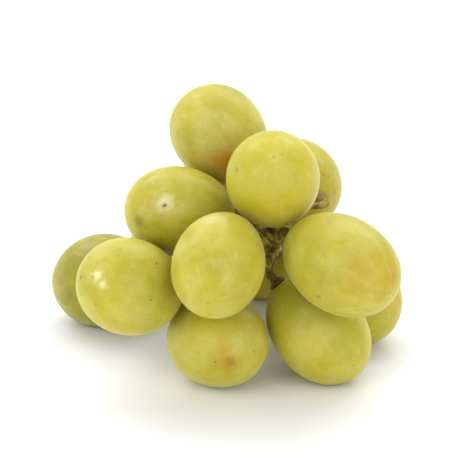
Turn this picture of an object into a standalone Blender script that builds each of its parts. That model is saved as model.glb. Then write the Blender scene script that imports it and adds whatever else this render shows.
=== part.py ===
"""A small loose bunch of oval white table grapes on its branching stem, lying on a flat surface.

Metres, +Z up. The bunch rests on z = 0 and +Y runs away from its front. Every grape is a body of its own,
and the stem grew as one piece, so it is one body: the stalk, its branches, and a pedicel to each grape.
"""

import math

import bmesh
import bpy
from mathutils import Matrix, Vector

MM = 0.001

# ---- Driving dimensions ----------------------------------------------------------------------------------
GRAPE_LENGTH = 28.0 * MM  # pole to pole of a middling grape
GRAPE_GIRTH = 23.0 * MM  # widest diameter of a middling grape
FULLER_END = 0.035  # how much wider the free end is than the stem end, as a share of the girth
CLEARANCE = 0.35 * MM  # between a grape's stem end and the pedicel that carries it
PEDICEL_RADIUS = 1.0 * MM
RECEPTACLE_RADIUS = 1.9 * MM  # the swollen end of a pedicel, against the grape
RECEPTACLE_DEPTH = 2.6 * MM
# along the receptacle from the pedicel to the grape: share of its depth, share of its radius
RECEPTACLE_PROFILE = ((0.45, 0.66), (0.75, 0.97), (0.9, 1.0), (1.0, 0.84))
ROOTING = 0.6 * MM  # how far a branch starts inside the one that it grows from, past that one's middle
PEDICEL_LEAVING = 0.35  # how far a pedicel holds the direction that it starts in, as a share of its length
PEDICEL_ARRIVING = 0.25  # and the direction that it ends in
PEDICEL_FLARE = 0.1  # a pedicel is this share thicker at its ends and this share thinner in its middle

# ---- Fineness of the meshes ------------------------------------------------------------------------------
GRAPE_SEGMENTS = 18
GRAPE_RINGS = 12
STEM_SIDES = 8
STEM_STEPS = 5  # rings between two points of a branch
PEDICEL_STEPS = 6

# ---- Grapes ----------------------------------------------------------------------------------------------
# name: centre in mm; which way the stem end points, as azimuth from +X and elevation in degrees;
# length and girth as shares of the middling grape
GRAPES = {
    "grape_top_back": ((-1.6, 38.8, 51.8), (-35, -40), 0.95, 1.01),
    "grape_top_front": ((11.5, 13.8, 50.1), (90, -45), 1.0, 1.0),
    "grape_top_right": ((17.4, 43.5, 36.4), (-64, 4), 0.97, 1.0),
    "grape_left_upper": ((-11.3, 21.3, 38.5), (17, -13), 1.0, 0.97),
    "grape_left_end": ((-31.0, 41.0, 11.7), (-35, 28), 0.97, 1.01),
    "grape_left_front": ((-23.2, 3.2, 26.2), (47, -28), 1.07, 1.035),
    "grape_centre_front": ((-1.7, -3.6, 35.2), (80, 14), 1.1, 0.98),
    "grape_bottom_front": ((-2.1, 5.2, 11.1), (130, -8), 1.0, 1.0),
    "grape_right_front": ((27.9, -2.2, 34.6), (134, 8), 1.185, 1.03),
    "grape_right_back": ((31.9, 31.0, 10.9), (127, 3), 0.965, 0.98),
    "grape_right_foot": ((22.6, 7.7, 12.8), (152, 42), 1.065, 0.985),
    "grape_core": ((-1.1, 35.6, 21.2), (35, 10), 0.94, 0.96),
    "grape_back_foot": ((10.3, 57.3, 11.4), (-60, 40), 0.93, 0.96),
    "grape_back_upper": ((-0.1, 61.0, 31.9), (-68, -40), 0.88, 0.91),
    "grape_back_left": ((-14.2, 57.8, 10.9), (-20, 35), 0.9, 0.935),
}
GRAPE_COLOURS = ((0.56, 0.53, 0.10), (0.60, 0.57, 0.14), (0.52, 0.50, 0.08))

# ---- Stem ------------------------------------------------------------------------------------------------
# the points that branches pass through: place in mm and radius in mm
NODES = {
    "cut": ((29.0, 54.0, 18.5), 2.3),  # where the stalk was cut from the vine
    "stub_fork": ((23.0, 43.0, 21.5), 2.1),
    "back_fork": ((19.0, 36.5, 23.5), 2.1),
    "right_fork": ((17.0, 33.0, 25.0), 1.9),
    "top_fork": ((13.5, 24.0, 28.0), 1.8),
    "knob": ((12.0, 17.7, 29.0), 1.9),
    "left_bend": ((3.0, 16.5, 26.0), 1.1),
    "left_fork": ((-7.5, 17.0, 20.5), 1.3),
    "back_bend": ((13.5, 45.0, 22.3), 1.2),
    "back_end": ((8.0, 48.2, 23.0), 1.3),
    "right_bend": ((16.0, 27.5, 37.0), 1.2),
}
BRANCHES = {
    "stalk": ("cut", "stub_fork", "back_fork", "right_fork", "top_fork", "knob"),
    "left_branch": ("knob", "left_bend", "left_fork"),
    "back_branch": ("back_fork", "back_bend", "back_end"),
    "right_branch": ("top_fork", "right_bend"),
}
# grape: the node that its pedicel grows from
PEDICELS = {
    "grape_top_back": "top_fork",
    "grape_top_front": "top_fork",
    "grape_top_right": "right_bend",
    "grape_left_upper": "top_fork",
    "grape_left_end": "left_fork",
    "grape_left_front": "left_fork",
    "grape_centre_front": "knob",
    "grape_bottom_front": "left_fork",
    "grape_right_front": "knob",
    "grape_right_back": "right_fork",
    "grape_right_foot": "knob",
    "grape_core": "back_bend",
    "grape_back_foot": "stub_fork",
    "grape_back_upper": "back_end",
    "grape_back_left": "back_end",
}
# bare pedicels that lost their grape: the node that each grows from and where its receptacle ends, in mm
STUBS = {
    "stub_front": ("knob", (9.5, 11.5, 29.0)),
    "stub_back": ("stub_fork", (29.0, 42.5, 24.5)),
}
STEM_COLOUR = (0.20, 0.13, 0.03)


def clear_scene():
    for thing in list(bpy.data.objects):
        bpy.data.objects.remove(thing, do_unlink=True)


def material(name, colour, roughness):
    made = bpy.data.materials.new(name)
    made.use_nodes = True
    shader = made.node_tree.nodes["Principled BSDF"]
    shader.inputs["Base Color"].default_value = (*colour, 1.0)
    shader.inputs["Roughness"].default_value = roughness
    shader.inputs["Metallic"].default_value = 0.0
    return made


def pointing(azimuth, elevation):
    """The unit vector at an azimuth from +X towards +Y and an elevation, both in degrees."""
    turn, lift = math.radians(azimuth), math.radians(elevation)
    return Vector((math.cos(lift) * math.cos(turn), math.cos(lift) * math.sin(turn), math.sin(lift)))


def square_axes(along):
    """Two unit vectors square to the direction and to each other."""
    helper = Vector((0.0, 0.0, 1.0)) if abs(along.z) < 0.9 else Vector((1.0, 0.0, 0.0))
    first = along.cross(helper).normalized()
    return first, along.cross(first).normalized()


def object_from(name, work, surface):
    """A smooth-shaded object from the bmesh, whose faces are turned outward."""
    bmesh.ops.recalc_face_normals(work, faces=work.faces)
    mesh = bpy.data.meshes.new(name)
    work.to_mesh(mesh)
    work.free()
    mesh.shade_smooth()
    if surface:
        mesh.materials.append(surface)
    made = bpy.data.objects.new(name, mesh)
    bpy.context.scene.collection.objects.link(made)
    return made


def lofted(rings, start, end):
    """A closed bmesh through the rings of points, closed by a fan to the point at each end."""
    work = bmesh.new()
    loops = [[work.verts.new(point) for point in ring] for ring in rings]
    sides = len(rings[0])
    for lower, upper in zip(loops, loops[1:]):
        for i in range(sides):
            j = (i + 1) % sides
            work.faces.new((lower[i], lower[j], upper[j], upper[i]))
    for loop, tip in ((loops[0], start), (loops[-1], end)):
        pole = work.verts.new(tip)
        for i in range(sides):
            work.faces.new((loop[i], loop[(i + 1) % sides], pole))
    return work


def ring_at(centre, along, radius, sides):
    first, second = square_axes(along)
    turns = [2 * math.pi * i / sides for i in range(sides)]
    return [centre + radius * (math.cos(t) * first + math.sin(t) * second) for t in turns]


# ---- Grapes ----------------------------------------------------------------------------------------------


def grape(name, surface):
    """An oval grape, a little fuller at its free end, with a flat where it lies on the surface.

    Its origin is its middle and its own +Z points to its stem end.
    """
    place, (azimuth, elevation), length_share, girth_share = GRAPES[name]
    half_length = GRAPE_LENGTH * length_share / 2
    half_girth = GRAPE_GIRTH * girth_share / 2
    up = Vector((0.0, 0.0, 1.0))
    rings = []
    for i in range(1, GRAPE_RINGS):
        turn = math.pi * i / GRAPE_RINGS
        radius = half_girth * math.sin(turn) * (1 - FULLER_END * math.cos(turn))
        rings.append(ring_at(up * half_length * math.cos(turn), up, radius, GRAPE_SEGMENTS))
    work = lofted(rings, up * half_length, -up * half_length)
    turned = pointing(azimuth, elevation).to_track_quat("Z", "Y")
    placed = Matrix.LocRotScale(Vector(place) * MM, turned, None)
    flatten_below_surface(work, placed)
    made = object_from(name, work, surface)
    made.location = placed.to_translation()
    made.rotation_euler = placed.to_euler()
    return made


def flatten_below_surface(work, placed):
    """Cuts off what would reach below z = 0 once placed, and closes the cut with one flat face."""
    if min((placed @ vertex.co).z for vertex in work.verts) >= 0:
        return
    to_own = placed.inverted()
    everything = work.verts[:] + work.edges[:] + work.faces[:]
    cut = bmesh.ops.bisect_plane(
        work,
        geom=everything,
        dist=1e-7,
        plane_co=to_own.to_translation(),
        plane_no=to_own.to_3x3() @ Vector((0.0, 0.0, 1.0)),
        clear_inner=True,
    )
    rim = [part for part in cut["geom_cut"] if isinstance(part, bmesh.types.BMEdge)]
    bmesh.ops.contextual_create(work, geom=rim)


# ---- Stem ------------------------------------------------------------------------------------------------


def spline_through(points, steps):
    """Points on a smooth Catmull-Rom curve, each a place and a radius as four numbers."""
    ends = [2 * points[0] - points[1], *points, 2 * points[-1] - points[-2]]
    found = []
    for before, here, after, beyond in zip(ends, ends[1:], ends[2:], ends[3:]):
        for step in range(steps):
            t = step / steps
            found.append(
                0.5
                * (
                    2 * here
                    + (after - before) * t
                    + (2 * before - 5 * here + 4 * after - beyond) * t**2
                    + (3 * here - before - 3 * after + beyond) * t**3
                )
            )
    found.append(points[-1])
    return found


def tube(name, path):
    """A closed tube of round rings along the path of places and radii. It guides the stem's union."""
    places = [Vector(point[:3]) for point in path]
    radii = [point[3] for point in path]
    rings = []
    for i, place in enumerate(places):
        before = places[max(i - 1, 0)]
        after = places[min(i + 1, len(places) - 1)]
        rings.append(ring_at(place, (after - before).normalized(), radii[i], STEM_SIDES))
    made = object_from(name, lofted(rings, places[0], places[-1]), None)
    made.hide_render = True
    made.display_type = "WIRE"
    return made


def node(name):
    """A node's place and radius as one vector of four numbers, in metres."""
    place, radius = NODES[name]
    return Vector((*place, radius)) * MM


def pedicel_path(root, tip, outward):
    """From the root to the tip, arriving along outward, with the swollen receptacle at its end."""
    reach = (tip - root).length
    neck = tip - outward * RECEPTACLE_DEPTH
    start = root - (neck - root).normalized() * ROOTING
    first = root + (neck - root) * PEDICEL_LEAVING
    bend = ((root - tip).normalized() - outward).normalized()
    second = neck + bend * PEDICEL_ARRIVING * reach
    path = []
    for step in range(PEDICEL_STEPS + 1):  # a Bezier curve
        t = step / PEDICEL_STEPS
        s = 1 - t
        place = s**3 * start + 3 * s * s * t * first + 3 * s * t * t * second + t**3 * neck
        thickness = 1 + PEDICEL_FLARE * (1 - 2 * math.sin(math.pi * t))
        path.append((*place, PEDICEL_RADIUS * thickness))
    for share, width in RECEPTACLE_PROFILE:
        place = tip - outward * RECEPTACLE_DEPTH * (1 - share)
        path.append((*place, RECEPTACLE_RADIUS * width))
    return path


def stem(surface):
    """Stalk, branches, pedicels and bare stubs as one body: the union of a tube for each."""
    tubes = []
    for name, route in BRANCHES.items():
        stops = [node(stop) for stop in route]
        if route[0] != "cut":
            stops[0] = stops[0] - (stops[1] - stops[0]).normalized() * ROOTING
        stops[-1] = stops[-1] + (stops[-1] - stops[-2]).normalized() * ROOTING
        tubes.append(tube(name, spline_through(stops, STEM_STEPS)))
    for name, start in PEDICELS.items():
        place, (azimuth, elevation), length_share, _ = GRAPES[name]
        stemward = pointing(azimuth, elevation)
        tip = Vector(place) * MM + stemward * (GRAPE_LENGTH * length_share / 2 + CLEARANCE)
        tubes.append(tube("pedicel_of_" + name, pedicel_path(node(start).to_3d(), tip, -stemward)))
    for name, (start, end) in STUBS.items():
        root = node(start).to_3d()
        tip = Vector(end) * MM
        tubes.append(tube(name, pedicel_path(root, tip, (tip - root).normalized())))
    made = bpy.data.objects.new("stem", tubes[0].data)
    bpy.data.objects.remove(tubes[0])
    made.data.materials.append(surface)
    bpy.context.scene.collection.objects.link(made)
    for guide in tubes[1:]:
        union = made.modifiers.new("with_" + guide.name, "BOOLEAN")
        union.operation = "UNION"
        union.solver = "EXACT"
        union.object = guide
    return made


def centre_footprint(pieces):
    """Parents every object to one empty, placed so that the middle of the bunch's footprint is the origin."""
    bpy.context.view_layer.update()
    seen = bpy.context.evaluated_depsgraph_get()
    corners = []
    for piece in pieces:
        shape = piece.evaluated_get(seen)
        corners += [shape.matrix_world @ vertex.co for vertex in shape.data.vertices]
    bunch = bpy.data.objects.new("bunch", None)
    bpy.context.scene.collection.objects.link(bunch)
    for thing in bpy.context.scene.objects:
        if thing is not bunch:
            thing.parent = bunch
    for axis in range(2):
        low, high = (pick(corner[axis] for corner in corners) for pick in (min, max))
        bunch.location[axis] = -(low + high) / 2


def main():
    clear_scene()
    skins = [material(f"grape_skin_{i + 1}", colour, 0.35) for i, colour in enumerate(GRAPE_COLOURS)]
    pieces = [grape(name, skins[i % len(skins)]) for i, name in enumerate(GRAPES)]
    pieces.append(stem(material("stem_bark", STEM_COLOUR, 0.7)))
    centre_footprint(pieces)


main()
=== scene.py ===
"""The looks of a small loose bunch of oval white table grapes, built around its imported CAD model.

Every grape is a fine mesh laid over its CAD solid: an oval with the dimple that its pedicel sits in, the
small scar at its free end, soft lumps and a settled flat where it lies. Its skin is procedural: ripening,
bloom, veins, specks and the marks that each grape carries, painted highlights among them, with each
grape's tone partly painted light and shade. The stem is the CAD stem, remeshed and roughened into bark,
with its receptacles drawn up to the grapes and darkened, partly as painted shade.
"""

import math

import bmesh
import bpy
import numpy as np
from mathutils import Matrix, Vector, noise


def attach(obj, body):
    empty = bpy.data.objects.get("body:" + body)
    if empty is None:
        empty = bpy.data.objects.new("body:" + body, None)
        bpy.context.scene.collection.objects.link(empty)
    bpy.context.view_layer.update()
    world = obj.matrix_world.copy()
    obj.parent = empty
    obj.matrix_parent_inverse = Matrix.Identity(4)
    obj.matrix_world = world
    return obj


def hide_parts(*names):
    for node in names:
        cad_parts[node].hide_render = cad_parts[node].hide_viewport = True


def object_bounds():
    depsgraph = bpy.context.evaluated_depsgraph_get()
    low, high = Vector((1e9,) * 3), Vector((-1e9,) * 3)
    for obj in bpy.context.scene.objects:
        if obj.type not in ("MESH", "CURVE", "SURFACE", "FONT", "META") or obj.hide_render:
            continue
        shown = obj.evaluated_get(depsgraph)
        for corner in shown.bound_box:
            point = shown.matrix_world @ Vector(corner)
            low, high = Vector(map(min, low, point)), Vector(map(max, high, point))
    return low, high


MM = 0.001

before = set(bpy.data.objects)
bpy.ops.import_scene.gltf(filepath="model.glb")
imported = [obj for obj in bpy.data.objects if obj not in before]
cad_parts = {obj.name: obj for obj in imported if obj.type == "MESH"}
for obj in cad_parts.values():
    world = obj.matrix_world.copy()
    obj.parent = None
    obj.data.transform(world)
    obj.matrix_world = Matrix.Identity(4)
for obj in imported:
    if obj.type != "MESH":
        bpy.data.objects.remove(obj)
cad_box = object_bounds()

# ---- Shape of a grape ------------------------------------------------------------------------------------
SEGMENTS = 96  # round the axis
RINGS = 72  # from pole to pole
POLE_CROWDING = 0.34  # 0 spaces the rings evenly, and 0.5 crowds them wholly at the poles
FULLER_END = 0.035  # the free end is this much wider than the stem end, as in the CAD solid
DIMPLE_DEPTH = 0.55 * MM  # where the pedicel enters
DIMPLE_RADIUS = 2.4 * MM
SHOULDER_RISE = 0.12 * MM  # the soft ring round the dimple
SCAR_RADIUS = 0.55 * MM  # left by the flower, at the free end
SCAR_RISE = 0.10 * MM
LUMP_SHARE = 0.014  # broad unevenness, as a share of the girth
LUMP_FINENESS = 1.1  # lumps to a half girth, about
LUMP_SINK = 0.35  # more hollow than swelling, so that the grape stays within its CAD solid
DENT_HEIGHT = 0.05 * MM  # finer unevenness, which breaks up the highlights
DENT_FINENESS = 0.32  # dents to a millimetre, about
GIRTH_ZONE = 0.8  # the girth is read within this share of the half length

# ---- Where its skin changes ------------------------------------------------------------------------------
STEM_END_FADE = 4.0 * MM  # how far the amber round the pedicel reaches
SCAR_FADE = 0.8 * SCAR_RADIUS
SCAR_HIGHLIGHT_FADE = 2.6 * SCAR_RADIUS  # the painted highlight, a pale ring round the scar
SCAR_HIGHLIGHT_SHARE = 0.5  # how plain the painted highlight is beside the scar
MARK_RAGGEDNESS = 0.5  # how much the edge of a mark wanders
MARK_FINENESS = 0.9  # wanderings to a millimetre, about
MARK_EDGE = 2.4  # how sharply a mark ends
SKIN_SHIFT = np.array([41.0, 23.0, 67.0])  # mm from one grape's part of the noise to the next one's

# ---- What each grape looks like --------------------------------------------------------------------------
# tone_and_painted_light: how light its skin is, partly its own tone and partly painted light and shade:
# grape_left_end is darkened as painted shade, grape_back_foot lightened as painted light. ripe: from green at
# 0 to golden at 1.
# bloom: the pale wax. specks: how many. end: how plain the scar at its free end is, and the painted highlight
# round it.
TRAITS = ("tone_and_painted_light", "ripe", "bloom", "specks", "end")
GRAPES = {
    "grape_top_back": (0.93, 0.40, 0.72, 0.20, 0.50),
    "grape_top_front": (1.07, 0.50, 0.40, 0.25, 0.35),
    "grape_top_right": (0.90, 0.55, 0.30, 0.50, 0.50),
    "grape_left_upper": (0.98, 0.38, 0.55, 0.35, 0.30),
    # darkened as painted shade
    "grape_left_end": (0.66, 0.42, 0.38, 0.20, 0.30),
    "grape_left_front": (1.00, 0.48, 0.50, 0.95, 0.20),
    "grape_centre_front": (0.96, 0.46, 0.60, 0.15, 0.10),
    "grape_bottom_front": (1.00, 0.48, 0.60, 0.35, 0.15),
    "grape_right_front": (0.96, 0.45, 0.50, 0.30, 0.30),
    "grape_right_back": (0.98, 0.45, 0.35, 0.30, 0.25),
    "grape_right_foot": (1.00, 0.50, 0.50, 0.20, 0.25),
    "grape_core": (1.00, 0.35, 0.30, 0.30, 0.50),
    # lightened as painted light
    "grape_back_foot": (1.10, 0.40, 0.50, 0.30, 0.50),
    "grape_back_upper": (1.00, 0.55, 0.60, 0.30, 0.50),
    "grape_back_left": (1.00, 0.40, 0.50, 0.50, 0.50),
}
# kind of mark, azimuth and elevation of its place from the grape's middle, radius in mm, strength
MARKS = {
    "grape_top_back": [
        ("blush", -84, -12, 4.2, 0.85),
        ("blush", -103, -18, 3.5, 0.4),
        ("blush", -60, -16, 5.0, 0.6),
    ],
    "grape_top_front": [("bruise", -140, 25, 0.5, 0.8)],
    "grape_top_right": [("bruise", -51, 30, 0.4, 0.7), ("bruise", -44, 26, 0.35, 0.6)],
    "grape_left_upper": [
        # a painted highlight beside the scar
        ("painted_highlight", -112, 31, 2.0, 0.75),
        ("scar", -108, 29, 0.6, 1.0),
        ("bruise", -138, 5, 1.5, 0.55),
    ],
    "grape_left_end": [("bruise", -133, -6, 1.9, 0.35)],
    "grape_left_front": [
        # two painted highlights beside the scars
        ("painted_highlight", -127, 30, 1.2, 0.8),
        ("painted_highlight", -118, 24, 1.1, 0.6),
        ("scar", -150, 22, 0.5, 0.75),
        ("scar", -131, 28, 0.3, 0.5),
    ],
    # a painted highlight on the top of this grape
    "grape_centre_front": [("painted_highlight", 115, 77, 2.5, 0.35)],
    "grape_bottom_front": [
        ("blush", -78, 0, 2.6, 0.6),
        ("bruise", -76, 0, 1.2, 0.35),
        ("blush", -82, 14, 1.8, 0.45),
    ],
    "grape_right_front": [
        ("blush", -42, 4, 3.6, 0.35),
        ("bruise", -119, -19, 0.45, 0.7),
        ("blush", -68, 14, 6.0, 0.2),
    ],
    "grape_right_back": [("blush", -20, 20, 5.0, 0.3)],
    "grape_back_foot": [("bruise", 60, 20, 1.0, 0.5)],
    "grape_back_upper": [("blush", 80, 25, 5.0, 0.5)],
    # a painted highlight
    "grape_back_left": [("painted_highlight", 130, 10, 1.4, 0.6)],
}
# painted_highlight is a painted highlight, not a mark of the skin
MARK_KINDS = ("blush", "bruise", "scar", "painted_highlight")


# ---- Reading the frame -----------------------------------------------------------------------------------


def node_points(name):
    """The vertices of a CAD node, one row each."""
    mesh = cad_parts[name].data
    flat = np.zeros(len(mesh.vertices) * 3)
    mesh.vertices.foreach_get("co", flat)
    return flat.reshape(-1, 3)


class Grape:
    """A CAD grape's middle, own axes, half length and half girth, read from its solid."""

    def __init__(self, name, stem_points):
        points = node_points(name)
        apart = np.linalg.norm(points[:, None] - points[None], axis=2)
        ends = [points[i] for i in np.unravel_index(apart.argmax(), apart.shape)]
        ends.sort(key=lambda end: np.linalg.norm(stem_points - end, axis=1).min())
        self.name = name
        self.pole = ends[0]
        self.middle = (ends[0] + ends[1]) / 2
        self.half_length = np.linalg.norm(ends[0] - ends[1]) / 2
        self.stemward = (ends[0] - ends[1]) / (2 * self.half_length)
        side = np.cross(self.stemward, (0.0, 0.0, 1.0))
        self.side = side / np.linalg.norm(side)
        self.front = np.cross(self.stemward, self.side)
        along = (points - self.middle) @ self.stemward / self.half_length
        out = np.linalg.norm(points - self.middle - np.outer(along * self.half_length, self.stemward), axis=1)
        round_the_middle = np.abs(along) < GIRTH_ZONE
        share = np.sqrt(1 - along**2) * (1 - FULLER_END * along)
        self.half_girth = (out[round_the_middle] / share[round_the_middle]).max()


# ---- Meshes ----------------------------------------------------------------------------------------------


def new_piece(name, points, faces, replaced):
    """A smooth mesh piece that rides on the bunch's one body and stands for a CAD node."""
    mesh = bpy.data.meshes.new(name)
    mesh.from_pydata([tuple(point) for point in points], [], faces)
    mesh.shade_smooth()
    made = bpy.data.objects.new(name, mesh)
    bpy.context.scene.collection.objects.link(made)
    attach(made, "root")
    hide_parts(replaced)
    return made


def put_attribute(mesh, name, values):
    """Stores a number or a vector for each vertex, for the materials to read."""
    values = np.asarray(values, dtype=np.float32)
    if values.ndim == 1:
        mesh.attributes.new(name, "FLOAT", "POINT").data.foreach_set("value", values)
    else:
        mesh.attributes.new(name, "FLOAT_VECTOR", "POINT").data.foreach_set("vector", values.ravel())


def noise_at(points, scale, seed):
    """Smooth noise from -1 to 1 at each point, its features about 1 / scale apart."""
    shift = Vector((seed * 17.3, seed * 5.1, seed * 29.7))
    return np.array([noise.noise(Vector(point) * scale + shift) for point in points])


def bell(distance, width):
    """1 where the distance is 0, and fading to nothing beyond the width."""
    return np.exp(-((distance / width) ** 2))


def grape_mesh(grape, seed):
    """Points in the grape's own axes, with the faces that join them, from the stem end to the free end."""
    steps = np.arange(1, RINGS) / RINGS
    turns = math.pi * steps - POLE_CROWDING * np.sin(2 * math.pi * steps)
    rounds = 2 * math.pi * np.arange(SEGMENTS) / SEGMENTS
    turn, around = (grid.ravel() for grid in np.meshgrid(turns, rounds, indexing="ij"))
    turn = np.concatenate(([0.0], turn, [math.pi]))
    around = np.concatenate(([0.0], around, [0.0]))
    radius = grape.half_girth * np.sin(turn) * (1 - FULLER_END * np.cos(turn))
    own = np.stack(
        [radius * np.cos(around), radius * np.sin(around), grape.half_length * np.cos(turn)], axis=1
    )
    outward = own / np.array([grape.half_girth, grape.half_girth, grape.half_length]) ** 2
    outward /= np.linalg.norm(outward, axis=1)[:, None]
    lumps = grape.half_girth * LUMP_SHARE * (noise_at(outward, LUMP_FINENESS, seed) - LUMP_SINK)
    dents = DENT_HEIGHT * noise_at(own / MM, DENT_FINENESS, seed + 50)
    height = lumps + dents
    stem_side = own[:, 2] > 0
    shoulder = SHOULDER_RISE * bell(radius - 1.25 * DIMPLE_RADIUS, 0.5 * DIMPLE_RADIUS)
    height += np.where(stem_side, shoulder - DIMPLE_DEPTH * bell(radius, 0.62 * DIMPLE_RADIUS), 0.0)
    ring = SCAR_RISE * bell(radius - SCAR_RADIUS, 0.45 * SCAR_RADIUS)
    height += np.where(stem_side, 0.0, ring - 1.2 * SCAR_RISE * bell(radius, 0.55 * SCAR_RADIUS))
    own = own + outward * height[:, None]
    faces = []
    last = 1 + (RINGS - 2) * SEGMENTS
    for i in range(SEGMENTS):
        j = (i + 1) % SEGMENTS
        faces.append((0, 1 + i, 1 + j))
        faces.append((last + i, len(own) - 1, last + j))
        for k in range(RINGS - 2):
            row = 1 + k * SEGMENTS
            faces.append((row + i, row + SEGMENTS + i, row + SEGMENTS + j, row + j))
    return own, radius, faces


def direction(azimuth, elevation):
    """The unit vector that points that way, in degrees."""
    turn, lift = math.radians(azimuth), math.radians(elevation)
    return np.array([math.cos(lift) * math.cos(turn), math.cos(lift) * math.sin(turn), math.sin(lift)])


def mark_strengths(grape, world, marks, kind, seed):
    """How strongly each vertex carries the grape's marks of that kind, with ragged edges."""
    strength = np.zeros(len(world))
    ragged = 1 + MARK_RAGGEDNESS * noise_at(world / MM, MARK_FINENESS, seed)
    for mark_kind, azimuth, elevation, radius, full in marks:
        if mark_kind != kind:
            continue
        aim = direction(azimuth, elevation)
        away = world - grape.middle
        cosine = away @ aim / np.linalg.norm(away, axis=1)
        place = world[cosine.argmax()]
        distance = np.linalg.norm(world - place, axis=1) * ragged / (radius * MM)
        strength = np.maximum(strength, full * np.exp(-(distance**MARK_EDGE)))
    return strength


def settle(world):
    """Nothing reaches under the surface: what would is laid flat on it."""
    world[:, 2] = np.maximum(world[:, 2], 0.0)
    return world


def grape_piece(grape, seed):
    """The visible skin of one grape, with everything that its material reads stored on it."""
    look = dict(zip(TRAITS, GRAPES[grape.name]))
    marks = MARKS.get(grape.name, ())
    own, radius, faces = grape_mesh(grape, seed)
    axes = np.stack([grape.side, grape.front, grape.stemward])
    world = settle(grape.middle + own @ axes)
    piece = new_piece(grape.name + "_skin", world, faces, grape.name)
    put_attribute(piece.data, "own", own / MM + seed * SKIN_SHIFT)
    put_attribute(piece.data, "around", own / MM)
    to_pole = np.linalg.norm(world - grape.pole, axis=1)
    put_attribute(piece.data, "stem_end", bell(to_pole, STEM_END_FADE))
    at_scar = np.where(own[:, 2] < 0, bell(radius, SCAR_FADE), 0.0)
    # where the painted highlight round each grape's free-end scar lies
    scar_highlight_mask = np.where(own[:, 2] < 0, bell(radius, SCAR_HIGHLIGHT_FADE), 0.0)
    for kind in MARK_KINDS:
        strength = mark_strengths(grape, world, marks, kind, seed)
        if kind == "scar":
            strength = np.maximum(strength, look["end"] * at_scar)
        # painted highlight round the scar, on top of the listed painted highlights
        if kind == "painted_highlight":
            strength = np.maximum(strength, SCAR_HIGHLIGHT_SHARE * look["end"] * scar_highlight_mask)
        put_attribute(piece.data, kind, strength)
    piece.data.materials.append(skin_material(grape.name, look))
    return piece


# ---- Materials -------------------------------------------------------------------------------------------


class Shader:
    """Short calls for building a material out of nodes."""

    def __init__(self, name):
        self.material = bpy.data.materials.new(name)
        self.material.use_nodes = True
        self.tree = self.material.node_tree
        self.principled = self.tree.nodes["Principled BSDF"]

    def add(self, kind, inputs=None, **settings):
        made = self.tree.nodes.new(kind)
        for key, value in settings.items():
            setattr(made, key, value)
        for key, value in (inputs or {}).items():
            self.feed(made.inputs[key], value)
        return made

    def feed(self, socket, value):
        if isinstance(value, bpy.types.NodeSocket):
            self.tree.links.new(value, socket)
        else:
            socket.default_value = value

    def attribute(self, name, vector=False):
        made = self.add("ShaderNodeAttribute", attribute_name=name)
        return made.outputs["Vector" if vector else "Fac"]

    def noise(self, place, scale, detail=3.0, roughness=0.55):
        made = self.add(
            "ShaderNodeTexNoise", {"Vector": place, "Scale": scale, "Detail": detail, "Roughness": roughness}
        )
        return made.outputs["Fac"]

    def math(self, operation, *values):
        made = self.add("ShaderNodeMath", operation=operation)
        for socket, value in zip(made.inputs, values):
            self.feed(socket, value)
        return made.outputs[0]

    def between(self, value, low, high, to_low=0.0, to_high=1.0):
        """value from low to high, as a smooth step from to_low to to_high."""
        made = self.add(
            "ShaderNodeMapRange",
            {"Value": value, "From Min": low, "From Max": high, "To Min": to_low, "To Max": to_high},
            interpolation_type="SMOOTHSTEP",
        )
        return made.outputs["Result"]

    def mix(self, share, first, second):
        made = self.add("ShaderNodeMix", data_type="RGBA")
        self.feed(made.inputs["Factor"], share)
        for socket, colour in ((made.inputs[6], first), (made.inputs[7], second)):
            self.feed(socket, colour if isinstance(colour, bpy.types.NodeSocket) else (*colour, 1.0))
        return made.outputs[2]

    def bump(self, height, distance, strength=1.0, onto=None):
        made = self.add("ShaderNodeBump", {"Height": height, "Distance": distance, "Strength": strength})
        if onto is not None:
            self.feed(made.inputs["Normal"], onto)
        return made.outputs["Normal"]

    def set(self, **values):
        for key, value in values.items():
            socket = self.principled.inputs[key.replace("_", " ")]
            if isinstance(value, tuple) and len(value) == 3 and socket.type == "RGBA":
                value = (*value, 1.0)
            self.feed(socket, value)


# linear colours
GREEN = (0.345, 0.325, 0.005)
GOLD = (0.510, 0.415, 0.008)
BLOOM = (0.620, 0.570, 0.210)
VEIN = (0.580, 0.520, 0.090)
AMBER = (0.460, 0.215, 0.008)
BROWN = (0.150, 0.070, 0.018)
DARK = (0.030, 0.016, 0.006)
# colour of the painted highlights
HIGHLIGHT_PAINT = (0.740, 0.700, 0.420)
SPECK = (0.230, 0.170, 0.020)
MOTTLE = (0.280, 0.260, 0.004)

VEIN_COUNT = 11
VEIN_WAVER = 7.0  # radians
VEIN_SHARE = 0.22  # how plain the veins are
RIPE_SPREAD = 0.22  # how far parts of one grape are riper or greener than the whole
MOTTLE_SHARE = 0.3
WAX_PATCHY = 0.62  # bloom that comes and goes
WAX_EVERYWHERE = 0.10
SPECK_SHARE = 0.7
STEM_END_SHARE = 0.30
FINE_SPECKS = (1.05, 0.36, 0.15)  # mm between them, the share that shows, radius in mm
COARSE_SPECKS = (3.1, 0.35, 0.30)


def specks(shader, place, cell, share, radius):
    """Round specks, one in each cell of that size in mm, of which that share shows."""
    cells = shader.add("ShaderNodeTexVoronoi", {"Vector": place, "Scale": 1 / cell}, feature="F1")
    split = shader.add("ShaderNodeSeparateColor", {"Color": cells.outputs["Color"]})
    shown = shader.math("LESS_THAN", split.outputs[0], share)
    unit = radius / cell
    size = shader.math("MULTIPLY_ADD", split.outputs[1], unit, 0.4 * unit)
    near = shader.math("SUBTRACT", size, cells.outputs["Distance"])
    dot = shader.between(near, -0.25 * unit, 0.5 * unit)
    return shader.math("MULTIPLY", dot, shown)


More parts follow.
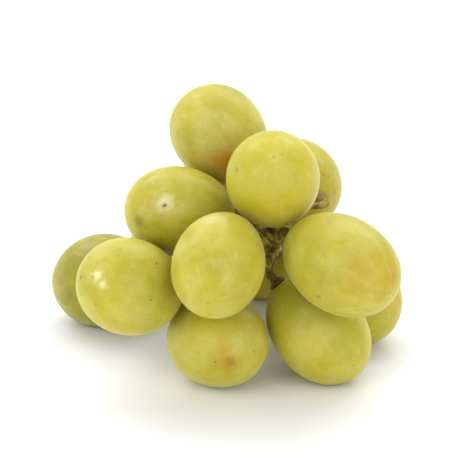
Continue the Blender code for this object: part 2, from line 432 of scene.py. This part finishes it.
def veins(shader, place):
    """Faint pale lines from pole to pole, which waver and fade."""
    axes = shader.add("ShaderNodeSeparateXYZ", {"Vector": shader.attribute("around", vector=True)})
    angle = shader.math("ARCTAN2", axes.outputs["Y"], axes.outputs["X"])
    waver = shader.math("MULTIPLY", shader.noise(place, 0.16, 3.0), VEIN_WAVER)
    wave = shader.math("COSINE", shader.math("MULTIPLY_ADD", angle, float(VEIN_COUNT), waver))
    line = shader.between(wave, 0.55, 1.0)
    return shader.math("MULTIPLY", line, shader.between(shader.noise(place, 0.35, 2.0), 0.35, 0.7))


def skin_material(name, look):
    """Yellow-green skin over translucent flesh, under a thin uneven bloom, with painted highlights, and light
    and shade partly painted through its tone.
    """
    shader = Shader(name + "_skin")
    place = shader.attribute("own", vector=True)
    # the tone scales the skin's colours, which paints light and shade onto some grapes
    green, gold, mottled = (tuple(look["tone_and_painted_light"] * part for part in colour) for colour in (GREEN, GOLD, MOTTLE))
    broad = shader.noise(place, 0.075, 2.0)
    ripe = shader.between(broad, 0.3, 0.7, look["ripe"] - RIPE_SPREAD, look["ripe"] + RIPE_SPREAD)
    colour = shader.mix(ripe, green, gold)
    mottle = shader.noise(place, 0.42, 4.0, 0.6)
    colour = shader.mix(shader.between(mottle, 0.45, 0.72, 0.0, MOTTLE_SHARE), colour, mottled)
    colour = shader.mix(shader.math("MULTIPLY", veins(shader, place), VEIN_SHARE), colour, VEIN)
    wax_patch = shader.between(shader.noise(place, 0.13, 3.0), 0.38, 0.68)
    wax_grain = shader.between(shader.noise(place, 1.5, 4.0, 0.7), 0.3, 0.75, 0.55, 1.0)
    wax = shader.math("MULTIPLY", wax_patch, wax_grain)
    wax = shader.math("MULTIPLY_ADD", wax, WAX_PATCHY * look["bloom"], WAX_EVERYWHERE * look["bloom"])
    colour = shader.mix(wax, colour, BLOOM)
    for (cell, share, radius), tint in ((FINE_SPECKS, SPECK), (COARSE_SPECKS, BROWN)):
        dots = specks(shader, place, cell, share * look["specks"], radius)
        colour = shader.mix(shader.math("MULTIPLY", dots, SPECK_SHARE), colour, tint)
    colour = shader.mix(shader.attribute("blush"), colour, AMBER)
    stem_end = shader.math("MULTIPLY", shader.attribute("stem_end"), STEM_END_SHARE)
    colour = shader.mix(stem_end, colour, AMBER)
    # painted highlights round the scars and where the marks place them
    colour = shader.mix(shader.attribute("painted_highlight"), colour, HIGHLIGHT_PAINT)
    colour = shader.mix(shader.attribute("bruise"), colour, BROWN)
    colour = shader.mix(shader.attribute("scar"), colour, DARK)
    rough = shader.between(wax, 0.0, 0.5, 0.44, 0.60)
    ripple = shader.bump(shader.noise(place, 0.5, 2.0), 0.10 * MM)
    grain = shader.bump(shader.noise(place, 5.0, 3.0, 0.7), 0.012 * MM, 1.0, ripple)
    shader.set(
        Base_Color=colour,
        Roughness=rough,
        Normal=grain,
        IOR=1.42,
        Subsurface_Weight=0.85,
        Subsurface_Radius=(1.0, 0.80, 0.16),
        Subsurface_Scale=10.0 * MM,
        Coat_Weight=0.14,
        Coat_Roughness=0.24,
        Specular_IOR_Level=0.40,
        Sheen_Weight=0.18,
        Sheen_Roughness=0.35,
        Sheen_Tint=(1.0, 0.94, 0.50),
    )
    return shader.material


OLIVE = (0.480, 0.380, 0.050)
BARK = (0.120, 0.064, 0.005)
# the receptacles' own brown, darkened further as painted shade where the stem sinks into each dimple
RECEPTACLE_BROWN_AND_SHADE = (0.085, 0.026, 0.003)
DRY = (0.560, 0.450, 0.180)
YOUNG = (0.460, 0.390, 0.110)


def stem_material():
    """Olive stem going brown and corky, darker and redder at the receptacles, partly their own brown and
    partly painted shade in the grapes' dimples, pale where it was cut.
    """
    shader = Shader("stem_bark")
    place = shader.attribute("own", vector=True)
    corky = shader.between(shader.noise(place, 0.38, 4.0, 0.6), 0.30, 0.64)
    colour = shader.mix(corky, OLIVE, BARK)
    # darker and redder at the receptacles: partly their own brown, partly painted shade in the dimples
    colour = shader.mix(shader.math("MULTIPLY", shader.attribute("receptacle"), 0.9), colour, RECEPTACLE_BROWN_AND_SHADE)
    colour = shader.mix(shader.attribute("green"), colour, YOUNG)
    lenticels = specks(shader, place, 1.3, 0.30, 0.18)
    colour = shader.mix(shader.math("MULTIPLY", lenticels, 0.5), colour, DRY)
    colour = shader.mix(shader.attribute("cut"), colour, DRY)
    rough = shader.between(shader.noise(place, 2.0, 2.0), 0.3, 0.7, 0.5, 0.8)
    ribs = shader.bump(shader.noise(place, 2.6, 4.0, 0.65), 0.15 * MM)
    shader.set(
        Base_Color=colour,
        Roughness=rough,
        Normal=ribs,
        Specular_IOR_Level=0.20,
        Subsurface_Weight=0.12,
        Subsurface_Radius=(1.0, 0.7, 0.2),
        Subsurface_Scale=0.8 * MM,
    )
    return shader.material


# ---- Stem ------------------------------------------------------------------------------------------------
RECEPTACLE_REACH = 1.15 * MM  # how far the stem is drawn up to meet a grape
STEM_WELD = 0.01 * MM
STEM_VOXEL = 0.24 * MM
BARK_HEIGHT = 0.20 * MM
BARK_LAYERS = ((0.6, 0.9, 3), (0.4, 2.1, 4))  # share of the height, bumps to a millimetre, seed
DISC_RADIUS = 2.25 * MM
DISC_HALF_DEPTH = 0.85 * MM
DISC_LIFT = 0.25 * MM  # how far above the grape's pole its disc's middle lies
RECEPTACLE_ZONE = 2.6 * MM  # how far from a grape's pole the stem counts as receptacle
RECEPTACLE_FADE = 3.2 * MM  # how far its darker colour, partly painted shade, reaches
YOUNG_GRAPE = "grape_top_right"  # its receptacle is still green
YOUNG_SHARE = 0.55
YOUNG_FADE = 3.0 * MM
CUT_WAY = (0.45, 0.85, -0.25)  # the stalk's cut end lies farthest this way
CUT_FADE = 1.6 * MM


def drawn_up(points, grapes):
    """The stem's points with each receptacle drawn up to its grape, into the dimple."""
    moved = points.copy()
    for grape in grapes:
        away = points - grape.pole
        above = away @ grape.stemward
        aside = np.linalg.norm(away - np.outer(above, grape.stemward), axis=1)
        part = (aside < RECEPTACLE_ZONE) & (above > 0) & (above < RECEPTACLE_ZONE)
        share = np.clip(1 - above / RECEPTACLE_ZONE, 0, 1) ** 0.8
        moved[part] -= np.outer(share[part] * RECEPTACLE_REACH, grape.stemward)
    return moved


def evaluated_mesh(thing):
    """A new mesh of the object with its modifiers applied."""
    seen = bpy.context.evaluated_depsgraph_get()
    return bpy.data.meshes.new_from_object(thing.evaluated_get(seen))


def with_discs(mesh, grapes):
    """The mesh with a swollen disc at each grape's pole, where the receptacle has grown onto the grape."""
    work = bmesh.new()
    work.from_mesh(mesh)
    for grape in grapes:
        place = Vector(grape.pole + grape.stemward * DISC_LIFT)
        turned = Vector(grape.stemward).to_track_quat("Z", "Y")
        squashed = Vector((DISC_RADIUS, DISC_RADIUS, DISC_HALF_DEPTH))
        bmesh.ops.create_icosphere(
            work, subdivisions=3, radius=1.0, matrix=Matrix.LocRotScale(place, turned, squashed)
        )
    work.to_mesh(mesh)
    work.free()


def remeshed(mesh):
    """The mesh as one fine even skin, its joins rounded."""
    rough = bpy.data.objects.new("stem_rough", mesh)
    bpy.context.scene.collection.objects.link(rough)
    weld = rough.modifiers.new("weld", "WELD")
    weld.merge_threshold = STEM_WELD
    remesh = rough.modifiers.new("remesh", "REMESH")
    remesh.mode = "VOXEL"
    remesh.voxel_size = STEM_VOXEL
    smooth = rough.modifiers.new("smooth", "SMOOTH")
    smooth.factor = 0.5
    smooth.iterations = 4
    fine = evaluated_mesh(rough)
    bpy.data.objects.remove(rough)
    return fine


def roughen(mesh):
    """Raises and lowers the skin into bark, and gives the places of its vertices, one row each."""
    flat, slopes = (np.zeros(len(mesh.vertices) * 3) for _ in range(2))
    mesh.vertices.foreach_get("co", flat)
    mesh.vertices.foreach_get("normal", slopes)
    world, outward = flat.reshape(-1, 3), slopes.reshape(-1, 3)
    height = sum(share * noise_at(world / MM, fineness, seed) for share, fineness, seed in BARK_LAYERS)
    world = world + outward * (height * BARK_HEIGHT)[:, None]
    mesh.vertices.foreach_set("co", world.ravel())
    return world


def stem_piece(grapes):
    """The visible stem: the CAD stem as bark, with its receptacles grown onto the grapes."""
    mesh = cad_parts["stem"].data.copy()
    mesh.vertices.foreach_set("co", drawn_up(node_points("stem"), grapes).ravel())
    with_discs(mesh, grapes)
    fine = remeshed(mesh)
    world = roughen(fine)
    fine.materials.clear()
    fine.shade_smooth()
    made = bpy.data.objects.new("stem_bark", fine)
    bpy.context.scene.collection.objects.link(made)
    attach(made, "root")
    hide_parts("stem")
    to_poles = {grape.name: np.linalg.norm(world - grape.pole, axis=1) for grape in grapes}
    cut = world[(world @ np.array(CUT_WAY)).argmax()]
    put_attribute(fine, "own", world / MM)
    # where the receptacles are darkened, partly as painted shade
    put_attribute(fine, "receptacle", bell(np.min(list(to_poles.values()), axis=0), RECEPTACLE_FADE))
    put_attribute(fine, "green", YOUNG_SHARE * bell(to_poles[YOUNG_GRAPE], YOUNG_FADE))
    put_attribute(fine, "cut", bell(np.linalg.norm(world - cut, axis=1), CUT_FADE))
    fine.materials.append(stem_material())
    return made


# ---- Studio ----------------------------------------------------------------------------------------------
CAMERA_DISTANCE = 1.15
CAMERA_ELEVATION = 23.0
FRAME_WIDTH = 0.112  # what the picture spans at the bunch
SENSOR = 36.0  # mm
FLOOR_SIZE = 6.0
FLOOR_DROP = 0.02 * MM  # keeps the floor off the flats that rest on it
FLOOR_GREYS = (0.86, 0.88)
LIGHT_DISTANCE = 0.9
LIGHT_TARGET = (0.0, 0.0, 0.03)
# name: azimuth and elevation, width and height, power in W
SOFT_BOXES = {
    "key_left": (-142, 26, 0.60, 0.60, 2.4),
    "key_right": (-56, 24, 0.50, 0.50, 1.8),
    "top_back": (98, 66, 1.00, 0.70, 2.9),
    "rim_right": (60, 40, 0.60, 0.25, 1.7),
    "rim_left": (132, 38, 0.50, 0.22, 1.5),
}
SKY_COLOUR = (0.95, 0.97, 1.0, 1.0)
SKY_STRENGTH = 0.95


def camera(box):
    """A long lens in front of the bunch and above it, aimed at its middle."""
    low, high = box
    target = (low + high) / 2
    tilt = math.radians(CAMERA_ELEVATION)
    data = bpy.data.cameras.new("camera")
    data.sensor_width = SENSOR
    data.lens = SENSOR * CAMERA_DISTANCE / FRAME_WIDTH
    data.clip_start, data.clip_end = 0.05, 50.0
    made = bpy.data.objects.new("camera", data)
    bpy.context.scene.collection.objects.link(made)
    made.location = target + CAMERA_DISTANCE * Vector((0.0, -math.cos(tilt), math.sin(tilt)))
    made.rotation_euler = (target - made.location).to_track_quat("-Z", "Y").to_euler()
    bpy.context.scene.camera = made


def soft_box(name, azimuth, elevation, width, height, power):
    """An area light that faces the bunch and that the camera doesn't see."""
    data = bpy.data.lights.new(name, "AREA")
    data.shape = "RECTANGLE"
    data.size, data.size_y = width, height
    data.energy = power
    made = bpy.data.objects.new(name, data)
    bpy.context.scene.collection.objects.link(made)
    target = Vector(LIGHT_TARGET)
    made.location = target + Vector(direction(azimuth, elevation)) * LIGHT_DISTANCE
    made.rotation_euler = (target - made.location).to_track_quat("-Z", "Y").to_euler()
    made.visible_camera = False


def floor():
    """A plain pale floor, wide enough to fill the view from any side."""
    shader = Shader("floor")
    grain = shader.noise(shader.add("ShaderNodeTexCoord").outputs["Object"], 40.0, 3.0)
    dark, light = ((grey,) * 3 for grey in FLOOR_GREYS)
    shader.set(Base_Color=shader.mix(grain, dark, light), Roughness=0.6)
    mesh = bpy.data.meshes.new("floor")
    half = FLOOR_SIZE / 2
    corners = [(-half, -half, 0.0), (half, -half, 0.0), (half, half, 0.0), (-half, half, 0.0)]
    mesh.from_pydata(corners, [], [(0, 1, 2, 3)])
    mesh.materials.append(shader.material)
    made = bpy.data.objects.new("floor", mesh)
    made.location.z = -FLOOR_DROP
    bpy.context.scene.collection.objects.link(made)


def studio(box):
    camera(box)
    floor()
    for name, settings in SOFT_BOXES.items():
        soft_box(name, *settings)
    world = bpy.data.worlds.new("studio")
    world.use_nodes = True
    background = world.node_tree.nodes["Background"]
    background.inputs["Color"].default_value = SKY_COLOUR
    background.inputs["Strength"].default_value = SKY_STRENGTH
    bpy.context.scene.world = world
    bpy.context.scene.view_settings.view_transform = "Standard"


def main():
    stem_points = node_points("stem")
    grapes = [Grape(name, stem_points) for name in GRAPES]
    for seed, grape in enumerate(grapes, start=1):
        grape_piece(grape, seed)
    stem_piece(grapes)
    studio(cad_box)


main()
